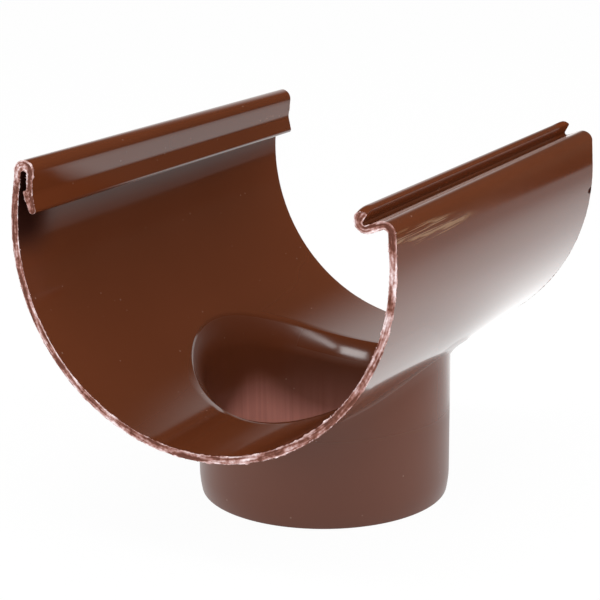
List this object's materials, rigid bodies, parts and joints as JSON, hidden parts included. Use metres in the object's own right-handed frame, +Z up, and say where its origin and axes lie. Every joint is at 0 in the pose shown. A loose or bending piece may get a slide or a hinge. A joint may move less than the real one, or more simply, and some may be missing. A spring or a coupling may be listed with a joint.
{
  "type": "gutter outlet",
  "caption": "Half-round gutter outlet: a saddle that holds the gutter by its front bead and back edge, with a round spigot below that drains into the downpipe.",
  "frame": {"origin": "centre of the spigot's lower rim", "axes": "+Z up along the spigot's axis, +Y along the gutter, +X across the gutter from its front bead to its back edge"},
  "size_m": [0.1368, 0.175, 0.1286],
  "materials": {
    "plastic": "glossy brown rigid plastic, rough and paler on the sawn ends"
  },
  "bodies": {
    "root": {"gutter_outlet": "plastic"}
  },
  "joints": []
}
